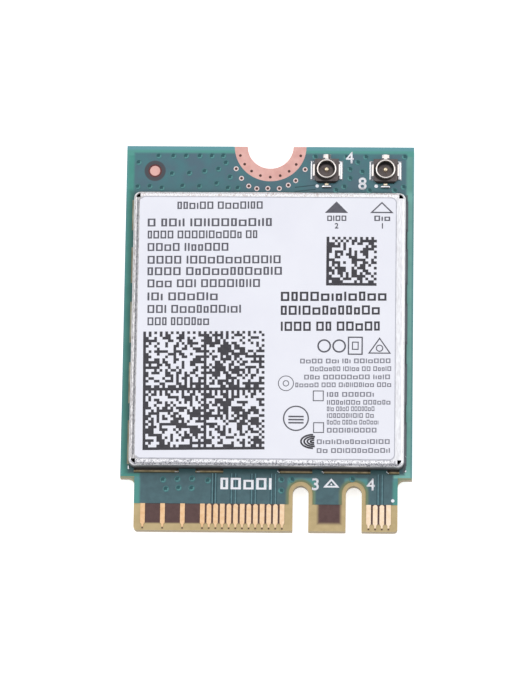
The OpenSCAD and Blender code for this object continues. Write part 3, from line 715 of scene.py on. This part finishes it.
# The rim and the sides are painted grey: painted shade along the label's edge.
label.data.materials.append(film_edge_shade)
for face in label.data.polygons:
    off_centre = face.center / MM - label_middle
    on_film = math.hypot(off_centre.x, off_centre.y) < 1 or face.center.x / MM < label_low.x + 0.1
    face.material_index = 0 if on_film else 1
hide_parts("lid_label")

# %% [markdown]
# ## Print on the label
# The print of this card is generic, and each line is a row of small hollow blocks. It could be a pattern
# in the film's colour, but shapes keep sharp edges. A row is a grid of small faces: the gaps are
# deleted, and what is left is raised by the thickness of the ink. The two square codes are grids too,
# with a solid edge on two sides, a dotted edge on the others and a random filling. The print sits a
# little askew on the card, as labels do.

# %% Print helpers
PRINT_TURN = math.radians(0.6)
BLOCK_WIDTHS = (1, 3, 4, 4, 4, 4)
TALL_SHARE = 0.7


def lay_grid(west, south, width, height, columns, rows, keep, z, thickness):
    """A grid of which only the cells that pass keep(column, row) are left, as a raised film."""
    start_fresh()
    bpy.ops.mesh.primitive_grid_add(
        x_subdivisions=columns, y_subdivisions=rows, size=1,
        location=((west + width / 2) * MM, (south + height / 2) * MM, z * MM),
    )
    grid = bpy.context.object
    grid.scale = (width * MM, height * MM, 1)
    settle(grid)
    column_of = lambda face: int((face.center.x / MM - west) / width * columns)
    row_of = lambda face: int((face.center.y / MM - south) / height * rows)
    choose_faces(lambda face: not keep(column_of(face), row_of(face)))
    bpy.ops.mesh.delete(type="FACE")
    raise_sheet(thickness)
    return bpy.context.object


def flat_shape(x, y, radius, sides, stroke, z, thickness, turn=0.0, squash=1.0, kept=None):
    """A flat disc or polygon, only its outline where stroke is given, or only a part of the outline."""
    start_fresh()
    bpy.ops.mesh.primitive_circle_add(
        vertices=sides, radius=radius * MM, fill_type="NGON", location=(x * MM, y * MM, z * MM),
        rotation=(0, 0, turn),
    )
    settle(bpy.context.object)
    choose_faces(lambda face: True)
    bpy.ops.transform.resize(value=(1, squash, 1), center_override=(x * MM, y * MM, z * MM))
    if stroke:
        bpy.ops.mesh.inset(thickness=stroke * MM)
        bpy.ops.mesh.delete(type="FACE")
    if kept:
        choose_faces(lambda face: not kept(face.center / MM))
        bpy.ops.mesh.delete(type="FACE")
    raise_sheet(thickness)
    return bpy.context.object


def block_line(west, east, middle_y, height, words, rows, dice, z=None, thickness=None):
    """Words of hollow blocks, each block as tall as a capital or a little lower."""
    kept, column = set(), 0
    for word in words:
        for k in range(word):
            wide = dice.choice(BLOCK_WIDTHS)
            tall = rows if k == 0 or dice.random() < TALL_SHARE else rows - 1
            kept |= {
                (column + c, r)
                for c in range(wide) for r in range(tall)
                if c in (0, wide - 1) or r in (0, tall - 1)
            }
            column += wide + 1
        column += 2
    line = lay_grid(
        west, middle_y - height / 2, east - west, height, column - 3, rows,
        lambda c, r: (c, r) in kept, z or ink_floor, thickness or INK,
    )
    return turned(line, west, middle_y, PRINT_TURN if z is None else 0)

# %% Lines of print
dice = random.Random(7)


def lines_of_print(lines, height, rows):
    """Lines, each given by its west and east end, its place along the card and its words' lengths."""
    return [block_line(west, east, y, height, words, rows, dice) for west, east, y, words in lines]


MAIN_LINES = [
    (-9.23, 0.21, 8.53, [1, 4, 12]),
    (-9.21, -0.88, 7.58, [4, 10, 2]),
    (-9.20, -3.06, 6.60, [4, 7]),
    (-9.18, 0.92, 5.60, [4, 12]),
    (-9.17, 1.03, 4.70, [4, 12]),
    (-9.15, -0.62, 3.75, [3, 3, 9]),
    (-9.13, -3.81, 2.73, [3, 6]),
    (-9.11, -2.03, 1.75, [3, 10]),
    (-9.09, -4.43, 0.79, [3, 6]),
]
main_print = lines_of_print(MAIN_LINES, 0.62, 6)
main_print += lines_of_print([(-6.99, -0.5, 9.9, [6, 7])], 0.58, 6)
main_print += lines_of_print([(4.42, 5.87, 8.95, [4]), (8.0, 9.2, 8.97, [3])], 0.42, 5)
BOLD_LINES = [(0.98, 8.97, 2.8, [12]), (0.99, 8.47, 1.72, [12]), (1.01, 8.48, 0.47, [4, 2, 5])]
bold_print = lines_of_print(BOLD_LINES, 0.72, 5)
SMALL_LINES = [
    (2.50, 9.31, -2.22, [4, 3, 3, 7]),
    (3.26, 9.37, -2.82, [7, 5, 2, 5]),
    (2.82, 9.28, -3.46, [3, 8, 5]),
    (2.16, 9.38, -4.07, [5, 3, 10, 3]),
    (4.55, 8.08, -4.79, [3, 6]),
    (4.56, 9.33, -5.40, [9, 6]),
    (4.56, 8.13, -5.90, [3, 4, 7]),
    (4.57, 8.09, -6.42, [11, 2]),
    (4.57, 8.44, -6.93, [4, 5, 6]),
    (4.58, 8.30, -7.55, [10]),
    (3.83, 9.30, -8.44, [16]),
    (3.83, 9.32, -9.12, [2, 12]),
]
small_print = lines_of_print(SMALL_LINES, 0.36, 5)
print("lines of print:", len(main_print) + len(bold_print) + len(small_print))

# %% Square codes
def square_code(west, south, side, cells, blocks, seed):
    """A square code of blocks x blocks fields, each with a solid west and south edge."""
    filling = random.Random(seed)
    dark = {(c, r): filling.random() < 0.5 for c in range(cells) for r in range(cells)}
    field = cells // blocks

    def keep(column, row):
        c, r = column % field, row % field
        if c == 0 or r == 0:
            return True
        if r == field - 1:
            return c % 2 == 0
        if c == field - 1:
            return r % 2 == 0
        return dark[column, row]

    return lay_grid(west, south, side, side, cells, cells, keep, ink_floor, INK)


codes = [
    turned(square_code(-9.33, -9.12, 9.17, 44, 2, 11), -4.7, -4.55, math.radians(0.8)),
    square_code(4.39, 3.68, 3.82, 18, 1, 12),
]
print("faces in the codes:", [len(code.data.polygons) for code in codes])

# %% [markdown]
# The marks on the label are plain figures: a filled and an outlined triangle that point at the two
# jacks, their numbers, and rings, squares and bars. Apart from the bars and numbers, each starts as a
# circle with as many corners as the figure has.

# %% Numerals and figures
FONT_SIZE = 1.4  # of a numeral's height
MERGE = 0.004


def number(text, x, y, height, z, thickness, bold):
    """A plain numeral as a raised film. Corners closer than MERGE become one, or the film would leak."""
    start_fresh()
    bpy.ops.object.text_add(location=(x * MM, y * MM, z * MM))
    figure = bpy.context.object
    figure.data.body = text
    figure.data.size = height * FONT_SIZE * MM
    figure.data.offset = bold * MM
    figure.data.align_x = "CENTER"
    figure.data.align_y = "CENTER"
    bpy.ops.object.convert(target="MESH")
    settle(bpy.context.object)
    edit_all()
    bpy.ops.mesh.remove_doubles(threshold=MERGE * MM)
    raise_sheet(thickness)
    return bpy.context.object


def figures(rows, z, thickness):
    """A flat shape for each row of x, y, radius, sides and stroke, with a turn and a squash if given."""
    return [flat_shape(*row[:5], z, thickness, *row[5:]) for row in rows]

# %% Marks
DIAMOND = math.pi / 4
ARC_STEP = 0.24
GREY_FIGURES = [
    (5.12, 9.68, 1.02, 3, 0, 0, 0.59),
    (8.57, 9.68, 1.04, 3, 0.1, 0, 0.57),
    (4.30, -1.03, 0.52, 32, 0.12),
    (5.43, -1.03, 0.52, 32, 0.12),
    (6.65, -1.0, 0.8, 4, 0.1, DIAMOND, 1.25),
    (6.65, -1.0, 0.36, 4, 0.08, DIAMOND, 1.25),
    (8.48, -1.18, 1.01, 3, 0.09, 0, 0.84),
    (8.48, -1.18, 0.28, 24, 0.08),
    (1.45, -3.95, 0.6, 32, 0.06),
    (1.45, -3.95, 0.24, 24, 0.06),
    (2.24, -6.65, 0.98, 40, 0.1),
    (3.9, -4.9, 0.58, 4, 0.07, DIAMOND),
    (3.95, -7.35, 0.58, 4, 0.07, DIAMOND),
]
ARC_EAST = 3.62
arcs = [
    flat_shape(
        3.55, -8.42, 0.98 - ARC_STEP * k, 32, 0.13, ink_floor, INK,
        squash=0.6, kept=lambda at: at.x < ARC_EAST,
    )
    for k in range(4)
]
grey_marks = [
    number("2", 5.14, 8.34, 0.42, ink_floor, INK, 0.012),
    number("1", 8.62, 8.36, 0.42, ink_floor, INK, 0.012),
    *figures(GREY_FIGURES, ink_floor, INK),
    lay_grid(1.67, -7.05, 1.15, 0.6, 1, 5, lambda c, r: r not in (1, 3), ink_floor, INK),
]
finish_piece(main_print, "label_lines", ink_grey)
finish_piece(small_print, "label_small_lines", ink_pale)
finish_piece(codes + bold_print + arcs, "label_codes", ink_dark)
finish_piece(grey_marks, "label_marks", ink_grey)

# %% [markdown]
# ## Legend on the board
# White legend ink is screen-printed on the lacquer: numbers beside the jacks and the keys, dots at
# first pins, a triangle and a row of blocks. It lies thicker than the label's ink, so it is made of
# raised films in the same way.

# %% Legend
SILK = 0.03
LEGEND_FIGURES = [
    (3.60, 11.89, 0.13, 12, 0),
    (8.11, 11.90, 0.14, 12, 0),
    (9.56, -12.63, 0.13, 12, 0),
    (4.93, -11.41, 0.71, 3, 0.13, 0, 0.66),
    (4.93, -11.40, 0.07, 10, 0),
]
legend = [
    number("4", 6.08, 14.1, 0.92, board_top, SILK, 0.012),
    number("8", 7.06, 12.04, 0.95, board_top, SILK, 0.025),
    number("3", 3.74, -11.45, 0.92, board_top, SILK, 0.025),
    number("4", 7.91, -11.44, 0.92, board_top, SILK, 0.012),
    *figures(LEGEND_FIGURES, board_top, SILK),
    block_line(-3.42, 0.43, -11.4, 0.88, [5], 6, random.Random(3), board_top, SILK),
]
finish_piece(legend, "board_legend", silk)

# %% [markdown]
# ## Vias and tracks under the lacquer
# A via is a plated hole. Under the lacquer it shows as a tiny crater: a raised ring of copper with a
# dimple in the middle, where the lacquer sinks into the hole. The hole and the dimple's near side are
# painted dark, partly deeper lacquer and partly painted shade, and a bright crescent on the side away
# from the card's nearer edge is a painted highlight. Two insets shape the ring and one the dimple, and
# each face gets its colour by its place. Tracks are low ridges with a groove on each side, where the
# copper is etched away. One via is shaped and then copied, which makes them all alike.

# %% Tented vias
VIA_PLACES = [
    (3.42, 14.29), (5.8, 14.28), (7.3, 14.29), (10.27, 14.31), (6.68, 13.86), (6.1, 13.31), (6.11, 12.59),
    (7.03, 13.11), (5.65, 11.92), (5.04, 11.65), (7.6, 11.63), (10.2, 11.91), (9.52, 11.64), (-8.58, 14.29),
    (-7.44, 14.29), (-6.47, 14.3), (-5.42, 14.31), (-4.49, 14.31), (-3.62, 14.32), (-10.10, 13.77),
    (-3.41, 13.77), (-7.52, 12.89), (-6.20, 12.94), (-5.03, 13.09), (-3.97, 13.27), (-3.08, 12.64),
    (-4.10, 12.13), (-10.14, 11.84), (-9.21, 11.87), (-8.29, 11.75), (-6.70, 11.92), (-5.42, 11.89),
    (-3.22, 11.78), (-2.47, 11.78), (-7.75, -11.06), (-6.67, -11.01), (-5.56, -10.97), (-7.52, -11.77),
    (-6.57, -11.68), (-5.59, -11.70), (-4.36, -11.11), (1.15, -11.00), (1.95, -10.97), (1.16, -11.84),
    (6.50, -10.91), (-0.1, -11.5),
]
VIA_SHIFT = -0.07  # moves all of them towards the contacts
VIA_RADIUS = 0.25
VIA_FOIL = 0.002
RIM_SLOPE, RIM_RISE = 0.05, 0.02
RIM_FLAT = 0.03
DIMPLE_SLOPE, DIMPLE_DROP = 0.07, 0.018
# The rim's far side is painted lighter, a painted highlight. The hole is painted darkest, where the
# lacquer lies deep and in painted shade.
via_finishes = [
    clouded_finish(name, 0.3, 0.1, dark, light, IOR=1.5)
    for name, dark, light in (
        ("lacquer round a via", "#3A7072", "#437A7C"),
        ("lacquer sunk into a via, in painted shade", "#0A4A4E", "#125659"),
        ("painted highlight of lacquer on a via's far side", "#488786", "#549391"),
    )
]

one_via = flat_shape(0, 0, VIA_RADIUS, 18, 0, board_top, VIA_FOIL)
choose_faces(lambda face: face.normal.z > 0.5)
bpy.ops.mesh.inset(thickness=RIM_SLOPE * MM, depth=RIM_RISE * MM)
bpy.ops.mesh.inset(thickness=RIM_FLAT * MM)
bpy.ops.mesh.inset(thickness=DIMPLE_SLOPE * MM, depth=-DIMPLE_DROP * MM)
bpy.ops.object.mode_set(mode="OBJECT")
for via_finish in via_finishes:
    one_via.data.materials.append(via_finish)
on_rim = VIA_RADIUS - RIM_SLOPE + 0.01
in_dimple = VIA_RADIUS - RIM_SLOPE - RIM_FLAT - 0.01
for face in one_via.data.polygons:
    across_via, along_via = face.center.x / MM, face.center.y / MM
    off_axis = math.hypot(across_via, along_via)
    # Faces on the rim's far side take the painted highlight, and the dimple's near side the painted shade.
    lit = across_via - along_via > 0.04 and off_axis < on_rim
    sunk = off_axis < 0.05 or (off_axis < in_dimple and not lit)
    face.material_index = 1 if sunk else 2 if lit else 0
bpy.ops.object.shade_smooth_by_angle(angle=math.radians(35))
vias = join(
    [copy_to(one_via, x, y + VIA_SHIFT, 0 if x < 0 else -math.pi / 2) for x, y in VIA_PLACES],
    "tented_vias",
)
bpy.data.objects.remove(one_via)
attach(vias, "root")
print("tented vias:", len(VIA_PLACES))

# %% Tracks to the contacts
TRACK_XS = [-4.02, -3.79, -2.58, -2.28, -1.06, -0.78, 0.43, 0.73, 8.46, 8.76]
TRACK_END, TRACK_TOP = -12.93, -10.62
TRACK_HALF, TRACK_RISE = 0.045, 0.014
GAP_HALF, GAP_FILM = 0.13, 0.003
LONE_GAP_WEST, LONE_GAP_EAST, LONE_GAP_WIDE = 1.9, 3.5, 0.08
LONE_GAP_YS = [11.4, 11.74]
LONE_GAP_TURN = math.radians(7)
# With no copper below, the gap looks dark. The copper of a track makes the lacquer paler.
groove = clouded_finish("lacquer in an etched gap", 0.4, 0.3, "#234850", "#2B5258", IOR=1.5)
track = clouded_finish("lacquer over a track", 0.3, 0.3, "#507A81", "#5E888F", IOR=1.5)


def strip(west, east, south, north, z, thickness):
    """A straight strip, raised a little."""
    return lay_grid(west, south, east - west, north - south, 1, 1, lambda c, r: True, z, thickness)


grooves = [
    strip(x - GAP_HALF, x + GAP_HALF, TRACK_END, TRACK_TOP, board_top, GAP_FILM) for x in TRACK_XS
]
tracks = [
    strip(x - TRACK_HALF, x + TRACK_HALF, TRACK_END, TRACK_TOP, board_top, TRACK_RISE) for x in TRACK_XS
]
for south in LONE_GAP_YS:
    gap = strip(LONE_GAP_WEST, LONE_GAP_EAST, south, south + LONE_GAP_WIDE, board_top, GAP_FILM)
    grooves.append(turned(gap, LONE_GAP_WEST, south, LONE_GAP_TURN))
finish_piece(grooves, "track_gaps", groove)
finish_piece(tracks, "tracks", track)

# %% [markdown]
# ## Dark spots
# The drilled holes in the half ring and in the bare vias are plugged with dark red-brown resin. The
# sighting mark has a dark red ring of bare board round it, and each contact ends in a stub that was cut
# when the panel was parted. The holes in the CAD copper end on the tan laminate, so a small round plug
# stands in each.

# %% Hole plugs
PLUG_RADIUS = 0.11
PLUG_PROUD = 0.004
PAD_VIA_CIRCLE = 2.42
PAD_VIA_STEP = 18.2
# How far each bare via lies past the half ring, and its angle in degrees
BARE_VIAS = [
    (0.41, -146), (0.6, -131), (0.79, -117.5), (0.74, -107), (0.57, -93),
    (0.64, -78), (0.6, -65.5), (0.57, -54), (0.46, -34),
]
# Resin in a hole is matt and lies in shade, so it reads as a brown dot.
shade = clouded_finish("dark resin in a drill hole", 0.7, 0.1, "#4A2C26", "#5C3A32")
spots = [(PAD_VIA_CIRCLE, PAD_VIA_STEP * k - 90) for k in range(-4, 5)]
spots += [(ring_out + past, angle) for past, angle in BARE_VIAS]
holes = [
    (radius * math.cos(math.radians(angle)), notch_y + radius * math.sin(math.radians(angle)))
    for radius, angle in spots
]
plug_height = ring_high.z - laminate_top + PLUG_PROUD
one_plug = flat_shape(0, 0, PLUG_RADIUS, 12, 0, laminate_top, plug_height)
plugs = [copy_to(one_plug, x, y) for x, y in holes]
bpy.data.objects.remove(one_plug)
finish_piece(plugs, "hole_plugs", shade)

# %% The mark's ring and the contact stubs
MARK_RING_OUT = 0.53
MARK_RING_WIDE = 0.15
BARE_FILM = 0.02
STUB = (-0.06, 0.06, -14.88, -14.78)
# A narrow ring without lacquer: matt, and dark red beside the bright mark.
red = clouded_finish("bare board round the mark", 0.6, 0.1, "#5E2B2C", "#6E3534")
mark_ring = flat_shape(*FIDUCIAL_AT, MARK_RING_OUT, 40, MARK_RING_WIDE, laminate_top, BARE_FILM)
finish_piece([mark_ring], "mark_ring", red)

FINGER_PINS = [1, 3, 5, 7, 33, 35, 37, 39, 41, 43, 45, 47, 49, 51, 53, 55, 57, 63, 69, 75]
MIDDLE_PIN = 38
PIN_STEP = 0.25
one_stub = strip(*STUB, laminate_top, BARE_FILM)
stubs = [copy_to(one_stub, (MIDDLE_PIN - pin) * PIN_STEP, 0) for pin in FINGER_PINS]
bpy.data.objects.remove(one_stub)
finish_piece(stubs, "contact_stubs", shade)

# %% [markdown]
# ## Beads of solder
# Solder wets the feet of the shield and the legs of the jacks and freezes in small bright beads. A bead
# is half of a ball, drawn out into a bar and pressed flat: the lower half is cut off with a bisect, the
# far half is moved out to give the length, and the rest is squeezed. The beads are smaller than the
# distance at which a bisect takes a corner to lie on its plane, so it is given a tiny one.

# %% Solder beads
TINY = 1e-8
UPRIGHT = math.radians(90)
SLANT = math.radians(-45)
# Each bead gives its place, its length, width and height, and its turn. Those of a jack are placed
# from the middle of its ring.
JACK_BEADS = [
    (-1.17, -0.01, 1.5, 0.14, 0.07, UPRIGHT),
    (1.07, -0.01, 1.55, 0.32, 0.13, UPRIGHT),
    (0.94, 0.69, 0.4, 0.14, 0.12),
    (-1.1, 0.69, 0.26, 0.1, 0.06),
    (-0.1, 1.2, 0.38, 0.2, 0.12),
    (0, -1.3, 0.8, 0.3, 0.2),
]
SHIELD_BEADS = [
    (0.95, -10.47, 0.3, 0.1, 0.1, SLANT),
    (4.28, -10.47, 0.3, 0.1, 0.1, SLANT),
    (9.15, -10.47, 0.3, 0.1, 0.1, SLANT),
    (-6.75, -10.52, 0.3, 0.08, 0.08),
    (-5.1, -10.52, 0.3, 0.08, 0.08),
    (-10.38, -10.22, 0.34, 0.16, 0.12, UPRIGHT),
    (10.5, -10.36, 0.22, 0.18, 0.14, UPRIGHT),
    (10.5, -9.25, 0.14, 0.12, 0.1),
]


def bead(x, y, length, width, height, turn=0.0):
    """A bar of solder with round ends, lying on the board along X before its turn."""
    start_fresh()
    bpy.ops.mesh.primitive_uv_sphere_add(
        segments=16, ring_count=10, radius=width / 2 * MM, location=(0, 0, 0)
    )
    shape = bpy.context.object
    edit_all()
    bpy.ops.mesh.bisect(
        plane_co=(0, 0, 0), plane_no=(0, 0, 1), use_fill=True, clear_inner=True, threshold=TINY
    )
    bpy.ops.mesh.select_all(action="SELECT")
    bpy.ops.mesh.bisect(plane_co=(0, 0, 0), plane_no=(1, 0, 0), threshold=TINY)
    choose_faces(lambda face: face.center.x > 0)
    bpy.ops.transform.translate(value=((length - width) * MM, 0, 0))
    bpy.ops.object.mode_set(mode="OBJECT")
    shape.data.transform(Matrix.Translation((-(length - width) / 2 * MM, 0, 0)))
    shape.scale.z = height / (width / 2)
    shape.rotation_euler.z = turn
    shape.location = (x * MM, y * MM, board_top * MM)
    settle(shape)
    bpy.ops.object.shade_smooth()
    return shape


beads = [bead(jack_x + x, jack_y + y, *shape) for jack_x in jack_xs for x, y, *shape in JACK_BEADS]
beads += [bead(*place_and_shape) for place_and_shape in SHIELD_BEADS]
finish_piece(beads, "solder_beads", solder)

# %% [markdown]
# ## Floor and light
# The photograph has a white ground with no shadow, as on a light table. The floor is a plain white
# surface that gives off some light of its own. A large soft box hangs above the card, a little behind
# it: the lid and the gold mirror it, and the near walls stay dark. Two smaller ones at the left and at
# the right brighten the white film and the edges of the metal. A dim white sky fills the rest.

# %% Floor
FLOOR_DROP = 0.2
FLOOR_SIDE = 2.0
start_fresh()
bpy.ops.mesh.primitive_plane_add(size=FLOOR_SIDE, location=(0, 0, -FLOOR_DROP * MM))
floor = bpy.context.object
floor.name = "floor"
# A lit white plate: nearly the same white all over, with no gloss. Its patches are 40 mm wide.
ground = clouded_finish(
    "white light table", 0.8, 40, "#F4F4F4", "#F8F8F8",
    Emission_Color=(1, 1, 1, 1), Emission_Strength=0.6,
)
floor.data.materials.append(ground)
print("floor lies", FLOOR_DROP, "mm below the card")

# %% Lights
scene = bpy.context.scene
scene.view_settings.view_transform = "Standard"
world = bpy.data.worlds.new("white studio")
scene.world = world
world.use_nodes = True
sky = world.node_tree.nodes["Background"]
sky.inputs["Color"].default_value = linear("#F6F8FF")
sky.inputs["Strength"].default_value = 0.5


def soft_light(name, azimuth, elevation, distance, size, power):
    """A square light that looks at the card. Its distance and size are in metres."""
    data = bpy.data.lights.new(name, "AREA")
    data.shape = "SQUARE"
    data.size = size
    data.energy = power
    lamp = bpy.data.objects.new(name, data)
    a, e = math.radians(azimuth), math.radians(elevation)
    toward = Vector((math.sin(a) * math.cos(e), math.cos(a) * math.cos(e), math.sin(e)))
    lamp.matrix_world = (
        Matrix.Translation(toward * distance) @ toward.to_track_quat("Z", "Y").to_matrix().to_4x4()
    )
    scene.collection.objects.link(lamp)
    print(name, [round(v, 2) for v in lamp.location])


soft_light("top_box", -25, 66, 0.6, 0.8, 1.3)
soft_light("left_box", -90, 38, 0.6, 0.5, 1.0)
soft_light("right_box", 90, 38, 0.6, 0.5, 1.0)
